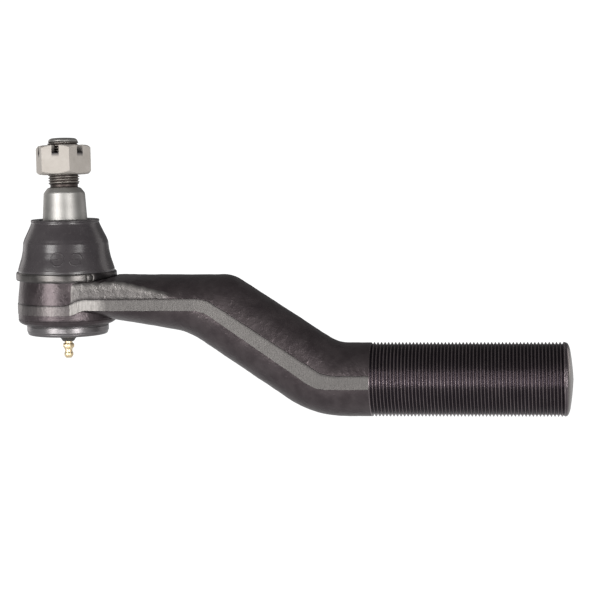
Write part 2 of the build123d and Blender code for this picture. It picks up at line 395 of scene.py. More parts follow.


# Pale zinc: a warm grey with soft clouds and small scuffs, and painted shade inside the slots.
def zincPlating():
    values = {
        "pale": (0.44, 0.413, 0.385),
        "dull": (0.37, 0.343, 0.315),
        "scuff": (0.45, 0.42, 0.39),
        "paintedSlotShade": (0.05, 0.045, 0.048),
    }
    finish = Finish("zincPlating")
    cloud = finish.noise(110, 4, 0.6)
    grain = finish.noise(1800, 3, 0.6)
    scuff = finish.noise(1, 4, 0.65, finish.stretched((900, 300, 250), (0.4, 0.2, 0.9))).between(0.58, 0.7)
    colour = finish.blend(cloud.between(0.3, 0.75), values["dull"], values["pale"])
    colour = finish.blend(scuff * 0.35, colour, values["scuff"])
    # Painted shade: the slots' walls and floors are darkened to stand in for the shade inside them.
    colour = finish.blend(finish.mark("paintedSlotShade"), colour, values["paintedSlotShade"])
    rough = 0.66 + 0.12 * cloud + 0.1 * scuff
    normal = finish.raised(grain + scuff * 0.5, 0.00003, 0.5)
    return finish.use(colour=colour, roughness=rough, metallic=0.35, normal=normal)


# Yellow passivated plating on the grease fitting.
def goldPlating():
    finish = Finish("goldPlating")
    cloud = finish.noise(420, 4, 0.6)
    grain = finish.noise(2500, 2, 0.5)
    colour = finish.blend(cloud.between(0.3, 0.7), (0.74, 0.57, 0.34), (0.88, 0.77, 0.55))
    rough = 0.3 + 0.15 * cloud
    return finish.use(colour=colour, roughness=rough, metallic=0.9, normal=finish.raised(grain, 0.00002, 0.4))


# Black steel band with a thin glossy coat, and painted shade on the side toward the arm.
def ringCoat():
    finish = Finish("ringCoat")
    cloud = finish.noise(120, 4, 0.6)
    lines = finish.noise(1, 3, 0.6, finish.stretched((40, 40, 2400)))
    colour = finish.blend(cloud.between(0.3, 0.7), (0.072, 0.068, 0.066), (0.125, 0.118, 0.115))
    # Painted shade: the band goes near black on the side toward the arm, under the boot's lip.
    colour = finish.blend(finish.mark("armSideShade") * (0.55 + 0.45 * cloud), colour, (0.016, 0.013, 0.015))
    rough = 0.22 + 0.14 * cloud + 0.06 * lines
    return finish.use(colour=colour, roughness=rough, metallic=0.85, normal=finish.raised(lines, 0.00002, 0.4))


def platePaint():
    finish = Finish("platePaint")
    cloud = finish.noise(160, 5, 0.6)
    grain = finish.noise(1300, 3, 0.6)
    colour = finish.blend(cloud.between(0.3, 0.7), (0.035, 0.033, 0.034), (0.075, 0.07, 0.068))
    rough = 0.42 + 0.2 * cloud
    return finish.use(colour=colour, roughness=rough, metallic=0.4, normal=finish.raised(grain, 0.00006, 0.6))


# Moulded rubber: fine grain, a faint dusty bloom, and two plain raised rings from the mould, each
# with a short bar across it.
def bootRubber():
    values = {"rings": ((1.2, 24.2, 3.9), (11.6, 24.0, 3.4)), "ringWidth": 0.42}
    finish = Finish("bootRubber")
    x, y, z = finish.apart()
    bloom = finish.noise(48, 5, 0.6)
    grain = finish.noise(1500, 4, 0.6)
    specks = finish.noise(700, 2, 0.5).between(0.62, 0.72)
    colour = finish.blend(bloom.between(0.25, 0.75), (0.03, 0.026, 0.029), (0.046, 0.041, 0.044))
    colour = finish.blend(specks * 0.25, colour, (0.09, 0.084, 0.082))
    front = (0 - y).between(0.018, 0.02)
    ringHeight = None
    for centreX, centreZ, radius in values["rings"]:
        away = ((x - centreX * mm) ** 2.0 + (z - centreZ * mm) ** 2.0) ** 0.5
        edge = 1 - ((away - radius * mm).size()).between(values["ringWidth"] * mm * 0.4, values["ringWidth"] * mm)
        inside = 1 - away.between(radius * mm * 0.6, radius * mm * 0.66)
        bar = (1 - (z - centreZ * mm).size().between(0.00012, 0.0003)) * inside
        mark = edge.most(bar)
        ringHeight = mark if ringHeight is None else ringHeight.most(mark)
    rough = 0.2 + 0.14 * bloom
    height = grain * 0.01 + ringHeight * front
    return finish.use(colour=colour, roughness=rough, metallic=0.0, normal=finish.raised(height, 0.0003, 0.8))


def innerPlastic(name, dark, pale, rough):
    finish = Finish(name)
    cloud = finish.noise(200, 4, 0.6)
    grain = finish.noise(1400, 3, 0.6)
    colour = finish.blend(cloud.between(0.3, 0.7), dark, pale)
    rough = rough + 0.15 * cloud
    return finish.use(colour=colour, roughness=rough, metallic=0.0, normal=finish.raised(grain, 0.00004, 0.5))


def innerSteel():
    finish = Finish("innerSteel")
    cloud = finish.noise(180, 4, 0.6)
    lines = finish.noise(1, 3, 0.6, finish.stretched((60, 60, 2500)))
    colour = finish.blend(cloud.between(0.3, 0.7), (0.38, 0.37, 0.36), (0.56, 0.55, 0.53))
    normal = finish.raised(lines, 0.00002, 0.5)
    return finish.use(colour=colour, roughness=0.28 + 0.14 * cloud, metallic=1.0, normal=normal)


forging = forgedSteel()
shankSteel = threadSteel("shankThreadSteel", (0.34, 0.295, 0.305), (0.028, 0.022, 0.029))
stud = groundSteel()
zinc = zincPlating()
gold = goldPlating()
band = ringCoat()
paint = platePaint()
rubber = bootRubber()
bushRubber = innerPlastic("bushRubber", (0.045, 0.043, 0.045), (0.09, 0.087, 0.085), 0.45)
seatPlastic = innerPlastic("seatPlastic", (0.55, 0.52, 0.45), (0.68, 0.65, 0.58), 0.35)
sealRubber = innerPlastic("sealRubber", (0.02, 0.02, 0.021), (0.04, 0.04, 0.041), 0.5)
steel = innerSteel()
print("materials made:", len(bpy.data.materials))

hidden = {
    "upper_bearing": seatPlastic,
    "lower_bearing": seatPlastic,
    "thrust_washer": steel,
    "preload_spring": steel,
    "cover_seal": sealRubber,
    "fitting_ball": steel,
}
for name, material in hidden.items():
    for holder in cadNodes[name].material_slots:
        holder.material = material


arm = {
    "stations": [  # x on the upper outline, x on the lower one, half the width
        (1, 1, 29.4), (8, 8, 28.85), (31.5, 31.5, 26.3), (64, 62, 23.6), (88, 76, 22.5), (100, 84, 22.4),
        (108, 90, 22.4), (118.7, 95, 22.3), (149, 124.2, 22.3), (161, 143.5, 22.3), (173, 168, 22.2),
        (181, 181, 22.125), (185.1, 185.1, 22.125),
    ],
    "upper": [(-10, 12.8), (102.3, 12.8), (165.4, -28.675), (190, -28.675)],
    "upperCuts": [0, 4.9, 6.8, 0],
    "lower": [(-10, -6.75), (75.3, -21.7), (150.6, -72.925), (190, -72.925)],
    "lowerCuts": [0, 9, 24, 0],
    "stripTop": [(-40, -3.4), (6.5, -3.4), (14.0, 0.2), (88.5, 0.1), (158.9, -46.1), (200, -46.1)],
    "stripBottom": [(-40, -9.5), (8.5, -9.5), (15.5, -6.4), (86.4, -7.2), (153.8, -54.3), (200, -54.3)],
    "stripCuts": [0, 3.5, 3.5, 6, 7, 0],
    "facetTop": [(-20, 9.3), (38.5, 10.6), (73, 0.6), (160, -60)],
    "stepHeight": 0.45,  # how far the sheared strip stands out
    "rootShear": 1.0,  # how bare the strip is beside the socket, and along the arm
    "armShear": 0.16,
    "draft": 0.115,  # how much the flat face leans in as it rises
    "startRadius": 24.5,  # the arm starts on a round face inside the socket's wall, clear of the bore
    "startFades": 30.0,  # how far along x the round face still bends the sections
    "faceFades": (68, 100),  # where the flat face gives way to the full ellipse
    "shearFades": (23, 31),
    "calmBefore": (176, 183),  # the unevenness dies out before the thread
    "facetCut": 3.0,
    "spotHeight": 10.42,  # the spot face round the socket's mouth
    "spotRadius": 31.3,
    "spotSlope": 1.3,
    "rows": 300,
    "unevenness": 0.07,
}


def stripEdge(name, x, seed):
    line = roundedLine(arm[name], arm["stripCuts"], steps=10)
    waves = wander(np.stack((x, x * 0, x * 0 + seed), -1), 7.0, seed)
    return np.interp(x, line[:, 0], line[:, 1]) + 0.11 * waves


# How far along x the arm starts, at each distance from its middle plane: on a circle round the
# socket's axis, and at 1 mm beyond the circle's sides.
def startFace(y):
    return np.maximum(np.maximum(arm["startRadius"] ** 2 - y * y, 0) ** 0.5, 1.0)


# Sections of the arm stand between its upper and lower outlines. Each is half an ellipse above and
# half an ellipse below a flat strip on either side; near the socket a flat face rises above the strip.
def armGrid():
    stations = np.array(arm["stations"], float)
    middleX = stations[:, :2].mean(1)
    rows = np.linspace(middleX[0], middleX[-1], arm["rows"])
    padding = 6
    kernel = np.hanning(2 * padding + 1)
    columns = []
    for column in stations.T:
        line = np.pad(np.interp(rows, middleX, column), padding, mode="reflect", reflect_type="odd")
        columns.append(np.convolve(line, kernel / kernel.sum(), mode="valid"))
    topX, bottomX, half = columns
    upper = roundedLine(arm["upper"], arm["upperCuts"], steps=14)
    lower = roundedLine(arm["lower"], arm["lowerCuts"], steps=14)
    topZ = np.interp(topX, upper[:, 0], upper[:, 1])
    bottomZ = np.interp(bottomX, lower[:, 0], lower[:, 1])
    tall = np.hypot(topX - bottomX, topZ - bottomZ)

    def heightOf(edge):  # height along the section where it meets an edge line, measured from its middle
        share = np.full(len(rows), 0.5)
        for _ in range(14):
            share = (edge(bottomX + share * (topX - bottomX)) - bottomZ) / (topZ - bottomZ)
        return (share - 0.5) * tall

    facetLine = roundedLine(arm["facetTop"], arm["facetCut"])
    stripTop = heightOf(lambda x: stripEdge("stripTop", x, 3))
    stripBottom = heightOf(lambda x: stripEdge("stripBottom", x, 8))
    facetTop = heightOf(lambda x: np.interp(x, facetLine[:, 0], facetLine[:, 1]))
    facetTop = facetTop + 0.22 * wander(np.stack((rows, rows * 0, rows * 0), -1), 5.0, 21)
    facetTop = np.maximum(facetTop, stripTop + 0.3)
    half, rise = half[:, None], tall[:, None] / 2
    stripTop, stripBottom, facetTop = stripTop[:, None], stripBottom[:, None], facetTop[:, None]
    rootShare = 1 - smoothStep(rows, *arm["faceFades"])[:, None]

    startUp = np.arcsin(np.clip(facetTop / rise, -0.95, 0.95))
    startDown = np.arcsin(np.clip(-stripBottom / rise, -0.95, 0.95))
    inside = half - arm["stepHeight"]
    leanIn = rootShare * arm["draft"] * (facetTop - stripTop)
    wideUp = half * (1 - rootShare) + rootShare * (inside - leanIn) / np.cos(startUp)
    wideDown = half * (1 - rootShare) + rootShare * (inside - 0.3) / np.cos(startDown)

    share = np.linspace(0, 1, 49)[None, :]
    angle = startUp + share * (pi - 2 * startUp)
    overY, overH = -wideUp * np.cos(angle), rise * np.sin(angle)
    share = np.linspace(0, 1, 7)[None, :-1]
    faceH = stripTop + 0.12 + share * (facetTop - stripTop - 0.12)
    faceY = overY[:, :1] - (1 - share) * leanIn
    overY = np.hstack((faceY, overY, -faceY[:, ::-1]))
    overH = np.hstack((faceH, overH, faceH[:, ::-1]))
    for _ in range(3):  # the corner over the flat face is rounded by averaging neighbours
        overY[:, 1:-1] = (overY[:, :-2] + 2 * overY[:, 1:-1] + overY[:, 2:]) / 4
        overH[:, 1:-1] = (overH[:, :-2] + 2 * overH[:, 1:-1] + overH[:, 2:]) / 4
    share = np.linspace(0, 1, overY.shape[1])[None, :]
    angle = startDown + share * (pi - 2 * startDown)
    underY, underH = wideDown * np.cos(angle), -rise * np.sin(angle)

    share = np.linspace(0, 1, 7)[None, :]
    landH = stripBottom + 0.06 + share * (stripTop - stripBottom - 0.12)
    landY = -(half - 0.02) + 0 * landH
    y = np.hstack((landY, overY, -landY[:, ::-1], underY, landY[:, :1]))
    h = np.hstack((landH, overH, landH[:, ::-1], underH, landH[:, :1]))
    shearShare = smoothStep(rows, *arm["shearFades"])[:, None]
    shear = arm["rootShear"] + (arm["armShear"] - arm["rootShear"]) * shearShare
    bright = np.hstack((1 + 0 * landY, 0 * overY, 1 + 0 * landY, 0 * underY, 1 + 0 * landY[:, :1]))
    creaseShade = 0 * bright
    # Painted shade: the columns at the step between the strip and the flat face are marked to be painted dark.
    creaseShade[:, [6, 7, 6 + overY.shape[1], 7 + overY.shape[1]]] = 1
    faceMark = np.hstack((0 * landY, 0 * overY, 0 * landY, 0 * underY, 0 * landY[:, :1]))
    bared = bright * shear
    faceEnd = 7 + overY.shape[1]
    faceMark[:, 7:15] = faceMark[:, faceEnd - 8:faceEnd] = smoothStep(facetTop - stripTop, 0.8, 4)
    bared[:, 11:14] = bared[:, faceEnd - 7:faceEnd - 4] = 0.4 * smoothStep(facetTop - stripTop, 3, 5)

    across = ((topX - bottomX) / tall)[:, None]
    upward = ((topZ - bottomZ) / tall)[:, None]
    x = ((topX + bottomX) / 2)[:, None] + across * h
    z = ((topZ + bottomZ) / 2)[:, None] + upward * h
    face, fades = startFace(y), arm["startFades"]
    x = np.where(x < fades, face + (x - 1) / (fades - 1) * (fades - face), x)
    points = np.stack((x, y, z), -1)
    outward = np.stack((across * h, y, upward * h), -1)
    outward /= np.linalg.norm(outward, axis=-1, keepdims=True)
    quiet = 1 - smoothStep(x, *arm["calmBefore"])
    rough = arm["unevenness"] * (wander(points, 16, 5) + 0.5 * wander(points, 5, 6)) * quiet * (1 - 0.7 * bright)
    points = points + outward * rough[..., None]
    radius = np.hypot(points[..., 0], points[..., 1])
    ceiling = arm["spotHeight"] + np.maximum(radius - arm["spotRadius"], 0) * arm["spotSlope"]
    points[..., 2] = np.minimum(points[..., 2], ceiling)
    return points, bright, bared, faceMark, creaseShade


# The start of the arm is closed by straight lines from its upper edge to its lower one, whose inner
# points are then moved along x onto the round face.
def armStart(loop):
    count = (len(loop) - 15) // 2
    left, over = loop[:7][::-1], loop[7:7 + count]
    right, under = loop[7 + count:14 + count], loop[14 + count:14 + 2 * count][::-1]
    share = np.linspace(0, 1, 9)[:, None, None]
    cap = over[None] * (1 - share) + under[None] * share
    cap[1:-1, :, 0] = startFace(cap[1:-1, :, 1])
    cap[1:-1, 0] = left
    cap[1:-1, -1] = right
    return cap


socket = {
    "side": [(28.3, 10.5), (29.7, -1.5), (29.7, -13.2), (27.6, -16.0)],
    "stepHeight": 0.25,
    "around": 29.9,  # radius at which the strip's edges are read
    "sideTop": 10.3,
    "sideEnd": -13.2,
    "below": [
        (29.7, -13.2), (29.2, -14.8), (27.3, -16.1), (25.6, -16.5), (24.4, -16.9), (24.75, -17.6), (24.75, -20.6),
        (24.3, -21.2), (24.3, -21.6), (23.9, -22.7), (22.6, -23.0), (19.0, -22.6), (18.1, -22.2), (18.1, -20.9),
        (20.5, -20.9), (20.5, 9.1), (14.4, 9.1), (15.9, 14.0), (25.0, 14.0), (25.0, 10.5), (28.3, 10.5),
    ],
    "belowCuts": [
        0, 1.0, 1.2, 0.5, 0.35, 0.6, 0.7, 0.4, 0.3, 0.9, 0.8, 0.5, 0.4, 0.1, 0.1, 0.1, 0.2, 0.4, 0.4, 0.2, 0,
    ],
    "segments": 300,
    "unevenness": 0.05,
}


# The socket is turned about its axis. The sheared strip goes round it, and steps up beside the arm.
def socketGrid():
    angle = np.linspace(0, 2 * pi, socket["segments"] + 1)[None, :]
    side = roundedLine(socket["side"], [0, 3, 1.5, 0])[::-1]
    sideTop, sideEnd = socket["sideTop"], socket["sideEnd"]
    aroundX = socket["around"] * np.cos(angle)
    top = stripEdge("stripTop", aroundX, 3)
    bottom = stripEdge("stripBottom", aroundX, 8)
    share = np.linspace(0, 1, 22)[:, None]
    aboveZ = sideTop + share * (top + 0.12 - sideTop)
    belowZ = (bottom - 0.1) + share[::2] * (sideEnd - bottom + 0.1)
    share = np.linspace(0, 1, 7)[:, None]
    landZ = top - 0.05 + share * (bottom - top + 0.1)
    aboveR = np.interp(aboveZ, side[:, 1], side[:, 0])
    belowR = np.interp(belowZ, side[:, 1], side[:, 0])
    landR = np.interp(landZ, side[:, 1], side[:, 0]) + socket["stepHeight"]
    rest = dividedLine(roundedLine(socket["below"], socket["belowCuts"], steps=7), 1.2)
    restR = rest[:, :1] + 0 * angle
    restZ = rest[:, 1:] + 0 * angle
    radius = np.vstack((aboveR, landR, belowR, restR, aboveR[:1]))
    height = np.vstack((aboveZ, landZ, belowZ, restZ, aboveZ[:1]))
    bright = np.vstack((0 * aboveR, 0.25 + 0 * landR, 0 * belowR, 0 * restR, 0 * aboveR[:1]))
    machined = smoothStep(-height, 15.9, 16.7) + smoothStep(height, 10.1, 10.4) + (radius < 24.9) * 1.0
    points = onSocket(radius * np.cos(angle), radius * np.sin(angle), height)
    machined = np.clip(machined, 0, 1)
    rough = socket["unevenness"] * (wander(points, 14, 5) + 0.5 * wander(points, 5, 6))
    rough = rough * (1 - machined) * (1 - 0.6 * bright)
    points[..., :2] *= (1 + rough / np.maximum(radius, 1))[..., None]
    creaseShade = np.vstack((0 * aboveR, 0 * landR, 0 * belowR, 0 * restR, 0 * aboveR[:1]))
    # Painted shade: the rows at the strip's upper step are marked to be painted dark.
    creaseShade[[len(aboveR) - 1, len(aboveR)]] = 1
    return points, bright, machined, creaseShade


armPoints, armBright, armBared, armFace, armCreaseShade = armGrid()
armCap = armStart(armPoints[0])
armPlain = 0 * armCap[..., 0]
socketPoints, socketBright, socketMachined, socketCreaseShade = socketGrid()
housingPiece = makePiece(
    "forging", [armPoints, armCap, socketPoints], forging,
    {
        "sheared": [armBright, armPlain, socketBright],
        "bared": [armBared, armPlain, socketBright],
        "face": [armFace, armPlain, 0 * socketBright],
        "machined": [0 * armBright, armPlain, socketMachined],
        "creaseShade": [armCreaseShade, armPlain, socketCreaseShade],
    },
    sharp=32,
)
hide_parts("housing")
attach(housingPiece, "housing")

shank = {
    "tooth": tooth,
    "major": 22.225,
    "depth": 1.3,
    "pitch": 2.1167,
    "start": 185.0,
    "finish": 300.2,
    "fadeIn": 0.5,
    "fadeOut": 0.9,
    "limit": [(184.3, 21.95), (185.0, 21.95), (185.5, 22.225), (299.6, 22.225), (300.6, 21.7), (301.3, 21.3)],
    "segments": 84,
    "end": [  # x, radius
        (300.3, 0), (300.0, 20.6), (299.9, 21.75), (301.0, 21.72), (301.9, 20.6), (302.8, 18.2), (303.7, 12.6),
        (304.4, 6.0), (304.78, 0),
    ],
    "endCuts": [0, 0.1, 0.3, 0.5, 0.7, 1.2, 3, 3, 0],
}
threadPoints = threaded(shank, onShank)
endLine = roundedLine(shank["end"], shank["endCuts"])
endPoints = turned(endLine[:, ::-1], onShank, 180)
threadRadius = np.hypot(threadPoints[..., 1], threadPoints[..., 2] + shankDrop)
endBare = smoothStep(endPoints[..., 0], 301.1, 302.0)
shankPiece = makePiece(
    "shankThread", [threadPoints, endPoints], shankSteel,
    {"crest": [smoothStep(threadRadius, 21.85, 22.15), 0.55 + 0 * endBare], "bare": [0 * threadRadius, endBare]},
    sharp=50,
)
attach(shankPiece, "housing")

studValues = {
    "taper": 1 / 16,
    "taperTop": 62.6,
    "taperSmall": 12.5,
    "ball": 16.5,
    "neck": 9.2,
    "ballFlat": -14.5,
    "thread": {
        "tooth": tooth,
        "major": 9.525,
        "depth": 0.97,
        "pitch": 1.5875,
        "start": 68.3,
        "finish": 93.9,
        "fadeIn": 0.5,
        "fadeOut": 0.4,
        "limit": [(66.4, 8.2), (67.6, 8.25), (68.8, 9.525), (93.0, 9.525), (93.8, 9.0), (94.2, 8.5)],
        "segments": 72,
    },
}


def taperRadius(height):
    return studValues["taperSmall"] + (studValues["taperTop"] - height) * studValues["taper"]


ball, neck, taperTop = studValues["ball"], studValues["neck"], studValues["taperTop"]
ballTurn = np.linspace(np.arcsin(studValues["ballFlat"] / ball), np.arccos(neck / ball), 40)
ballLine = ball * np.stack((np.cos(ballTurn), np.sin(ballTurn)), -1)
upperLine = roundedLine(
    [
        (neck, 14.2), (neck, 21.0), (taperRadius(39) - 1.2, 35.5), (taperRadius(39), 39),
        (taperRadius(taperTop), taperTop), (10.1, 65.7), (8.7, 66.1), (8.35, 66.3), (8.35, 67.3), (8.3, 67.8),
        (8.3, 93.5), (8.95, 93.8), (8.8, 94.5), (8.25, 95.3), (7.2, 95.78), (4.0, 96.04), (0, 96.12),
    ],
    [0, 2, 2, 1, 0.7, 0.6, 0.4, 0.2, 0.2, 0.2, 0.1, 0.2, 0.3, 0.4, 0.4, 1.5, 0],
)
studLine = dividedLine(np.vstack(([(0, studValues["ballFlat"])], ballLine, upperLine)), 2.0)
studPoints = turned(studLine, onStud, 180)
studThread = threaded(studValues["thread"], onStud)
threadAway = studThread - (studThread @ studUp)[..., None] * studUp
threadCrest = smoothStep(np.linalg.norm(threadAway, axis=-1), 9.2, 9.5)


def threadShare(points):
    height = points @ studUp
    return smoothStep(height, 65.6, 66.0) * (1 - smoothStep(height, 93.2, 93.8))


studPiece = makePiece(
    "ballStud", [studPoints, studThread], stud,
    {
        "thread": [threadShare(studPoints), threadShare(studThread)],
        "crest": [0 * studPoints[..., 0], threadCrest],
    },
    sharp=45,
)
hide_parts("ball_stud")
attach(studPiece, "stud")

nut = {
    "bottom": 74.0,
    "top": 91.4,
    "acrossFlats": 30.16,
    "cornerRadius": 17.6,
    "turn": -4.4,
    "slotWidth": 4.6,
    "slotDepth": 4.9,
    "bore": 9.6,
    "coneSlope": 0.586,
    "coneStart": 14.7,
    "edge": 0.28,
    "softness": 14,  # the higher, the sharper the hexagon meets the turned corners
}


# Columns follow the walls of the six slots, so each wall stays flat, and rows run once round the
# ring's section. The outer radius is the hexagon's, held under the turned corner radius.
def nutGrid():
    halfSlot, softness = nut["slotWidth"] / 2, nut["softness"]
    lands = np.array([0, 0.02, 0.05, 0.1, 0.17, 0.25, 0.33, 0.4, 0.44, 0.47, 0.485, 0.5])
    lands = np.concatenate((lands, 1 - lands[-2::-1]))
    slots = np.linspace(-1, 1, 7)
    sector = np.arange(6)[:, None]
    landShare = np.broadcast_to(lands, (6, len(lands)))
    slotShare = np.broadcast_to(slots, (6, len(slots)))
    kind = np.hstack((0 * slotShare, 1 + 0 * landShare)).reshape(-1)
    share = np.hstack((slotShare, landShare)).reshape(-1)
    number = np.broadcast_to(sector, (6, len(slots) + len(lands))).reshape(-1)
    kind, share, number = (np.append(a, a[0]) for a in (kind, share, number))
    number[-1] = 6
    centre = np.radians(nut["turn"] + 30 + 60 * number)

    def angleAt(radius):
        wall = np.arcsin(np.clip(halfSlot / radius, 0, 1))
        inSlot = centre + np.arcsin(np.clip(share * halfSlot / radius, -1, 1))
        onLand = centre + wall + share * (radians(60) - 2 * wall)
        return np.where(kind < 0.5, inSlot, onLand)

    outer = np.full(share.shape, 15.5)
    for _ in range(6):
        flat = np.mod(angleAt(outer) - radians(nut["turn"]), radians(60)) - radians(30)
        outer = nut["acrossFlats"] / 2 / np.cos(flat)
        outer = -np.log(np.exp(-softness * outer) + np.exp(-softness * nut["cornerRadius"])) / softness
    landTop = nut["top"] - 0.22 * ((share < 0.01) | (share > 0.99))
    highest = np.where(kind < 0.5, nut["top"] - nut["slotDepth"], landTop)
    bore, edge = nut["bore"], nut["edge"]

    def topAt(radius):
        return np.minimum(highest, nut["top"] - nut["coneSlope"] * np.maximum(radius - nut["coneStart"], 0))

    def bottomAt(radius):
        return nut["bottom"] + nut["coneSlope"] * np.maximum(radius - nut["coneStart"], 0)

    radii, heights = [], []
    ones = np.ones(share.shape)
    for radius, height in (
        (bore * ones, nut["bottom"] + 0.9), (bore * ones, highest - 0.7), ((bore + 0.25) * ones, highest - 0.25),
        ((bore + 0.7) * ones, highest),
    ):
        radii.append(radius)
        heights.append(height * ones)
    for portion in (0.2, 0.4, 0.6, 0.75, 0.88, 1.0):
        radius = (bore + 0.7) + portion * (outer - edge - bore - 0.7)
        radii.append(radius)
        heights.append(topAt(radius))
    upperEdge = topAt(outer)
    lowerEdge = bottomAt(outer)
    for inset, drop in ((0.3, 0.05), (0.08, 0.3), (0.0, 1.0)):
        radii.append(outer - edge * inset)
        heights.append(upperEdge - edge * drop)
    for portion in (0.2, 0.4, 0.6, 0.8):
        radii.append(outer)
        heights.append(upperEdge + portion * (lowerEdge - upperEdge))
    for inset, drop in ((0.0, 1.0), (0.08, 0.3), (0.3, 0.05)):
        radii.append(outer - edge * inset)
        heights.append(lowerEdge + edge * drop)
    for portion in (1.0, 0.8, 0.5, 0.2, 0.0):
        radius = (bore + 0.8) + portion * (outer - edge - bore - 0.8)
        radii.append(radius)
        heights.append(bottomAt(radius))
    radii.append(bore * ones)
    heights.append(heights[0])
    radii = np.array(radii)
    angles = np.array([angleAt(radius) for radius in radii])
    # Painted shade: points in the slots, from just under the slot floor upward, get the dark mark.
    inSlot = (kind < 0.5) * np.ones(radii.shape) * (np.array(heights) > nut["top"] - nut["slotDepth"] - 0.8)
    return onStud(radii * np.cos(angles), radii * np.sin(angles), np.array(heights)), inSlot


nutPoints, nutSlotShade = nutGrid()
nutPiece = makePiece("slottedNut", [nutPoints], zinc, {"paintedSlotShade": [nutSlotShade]}, sharp=24)
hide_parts("slotted_nut")
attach(nutPiece, "nut")

plateLine = roundedLine(
    [
        (2.46, -17.8), (20.4, -17.8), (20.4, -20.8), (17.4, -20.8), (16.6, -21.3), (10.6, -21.3), (8.6, -22.0),
        (4.2, -26.0), (3.5, -27.35), (2.46, -27.4),
    ],
    [0.2, 0.4, 0.4, 0.4, 0.6, 0.8, 1.0, 0.8, 0.4, 0.1], closed=True,
)
platePiece = makePiece("coverPlate", [turned(plateLine, onSocket)], paint)
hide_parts("cover_plate")
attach(platePiece, "housing")

fittingLine = roundedLine(
    [
        (1.15, -18.8), (2.4, -18.8), (2.4, -28.5), (2.9, -28.7), (2.9, -31.6), (2.25, -32.3), (2.25, -33.9),
        (2.8, -34.9), (2.75, -36.1), (1.7, -37.65), (0.7, -37.7), (0.7, -36.0), (1.15, -35.8),
    ],
    [0.1, 0.2, 0.1, 0.2, 0.3, 0.3, 0.4, 0.4, 0.4, 0.3, 0.1, 0.1, 0.1], closed=True,
)


# The wrench hexagon: six flats under a rounded corner, with both ends broken by a small bevel.
def hexagonGrid(acrossFlats, low, high, segments=120):
    angle = np.linspace(0, 2 * pi, segments + 1)[None, :]
    flat = acrossFlats / 2 / np.cos(np.mod(angle, pi / 3) - pi / 6)
    outer = np.minimum(flat, acrossFlats / 2 * 1.12)
    rows = np.array([(0.0, 0), (0.86, 0), (0.93, 0.03), (1.0, 0.16), (1.0, 0.84), (0.93, 0.97), (0.86, 1), (0.0, 1)])
    radius = outer * rows[:, :1] + 1.4 * (rows[:, :1] == 0)
    height = low + (high - low) * rows[:, 1:] + 0 * angle
    radius = np.vstack((radius, radius[:1]))
    height = np.vstack((height, height[:1]))
    return onSocket(radius * np.cos(angle), radius * np.sin(angle), height)


fittingPiece = makePiece(
    "greaseFitting", [turned(fittingLine, onSocket, 96), hexagonGrid(6.2, -31.3, -28.9)], gold
)
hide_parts("grease_fitting")
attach(fittingPiece, "housing")

coil = {"low": -33.45, "high": -26.25, "radius": 0.75, "wire": 0.19, "turns": 8}


# The fitting's spring: a round wire carried along a helix.
def coilGrid():
    turn = np.linspace(0, 2 * pi * coil["turns"], 24 * coil["turns"] + 1)[:, None]
    around = np.linspace(0, 2 * pi, 11)[None, :]
    rise = coil["low"] + (coil["high"] - coil["low"]) * turn / turn[-1]
    radius = coil["radius"] + coil["wire"] * np.cos(around)
    return onSocket(radius * np.cos(turn), radius * np.sin(turn), rise + coil["wire"] * np.sin(around))


coilPiece = makePiece("fittingCoil", [coilGrid()], steel, sharp=80)
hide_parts("fitting_spring")
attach(coilPiece, "housing")
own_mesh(coilPiece)

boot = {
    "outside": [  # height, radius
        (14.7, 29.8), (14.9, 29.3), (15.6, 29.2), (16.6, 29.25), (17.6, 28.95), (19.0, 28.55), (21.0, 27.9),
        (24.0, 26.95), (28.0, 26.15), (31.0, 25.85), (32.9, 25.72), (33.9, 25.35), (35.2, 24.95), (38.8, 23.2),
        (42.4, 21.45), (44.6, 20.55), (45.4, 20.7),
    ],
    "seam": 28.0,  # the skirt ends and the shoulder starts
    "skirtInside": [(24.5, 28.0), (24.8, 24.0), (25.3, 20.4), (26.2, 17.0), (25.1, 16.6)],
    "shoulderInside": [(16.1, 45.4), (16.1, 42.4), (21.5, 39.4), (24.15, 33.9)],
    "segments": 200,
}


def bootCentre(height):
    share = np.clip((height - 16.0) / 17.5, 0, 1)
    return studUp[0] * height * share, studUp[1] * height * share


# Outside and inside walls between two heights, each level centred on the leaning stud as it rises.
def bootGrid(line):
    angle = np.linspace(0, 2 * pi, boot["segments"] + 1)[None, :]
    radius, height = line[:, :1], line[:, 1:]
    shiftX, shiftY = bootCentre(height)
    x = shiftX + radius * np.cos(angle)
    y = shiftY + radius * np.sin(angle)
    points = onSocket(x, y, height)
    soft = 0.05 * wander(points, 18, 12) * smoothStep(height, 16, 20) * (1 - smoothStep(height, 42, 44.5))
    points[..., :2] *= (1 + soft / radius)[..., None]
    return points


outside = np.array(boot["outside"])[:, ::-1]
lowerOutside = outside[outside[:, 1] <= boot["seam"]]
upperOutside = outside[outside[:, 1] >= boot["seam"]]
lowerLine = roundedLine(
    [(25.1, 10.7), (29.8, 10.7), *map(tuple, lowerOutside), *boot["skirtInside"]],
    [0.1, 0.3, 0.1, 0.2] + [1.0] * (len(lowerOutside) - 3) + [0, 0, 2, 2, 0.3, 0.1], closed=True,
)
upperLine = roundedLine(
    [boot["skirtInside"][0], *map(tuple, upperOutside), *boot["shoulderInside"]],
    [0, 0] + [1.0] * (len(upperOutside) - 2) + [0.15, 0.15, 0.5, 1.0, 2], closed=True,
)
lowerBoot = makePiece("bootSkirt", [bootGrid(dividedLine(lowerLine, 1.0))], rubber, sharp=50)
upperBoot = makePiece("bootShoulder", [bootGrid(dividedLine(upperLine, 1.0))], rubber, sharp=50)
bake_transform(lowerBoot)
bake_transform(upperBoot)
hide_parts("dust_boot")
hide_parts("dust_boot")

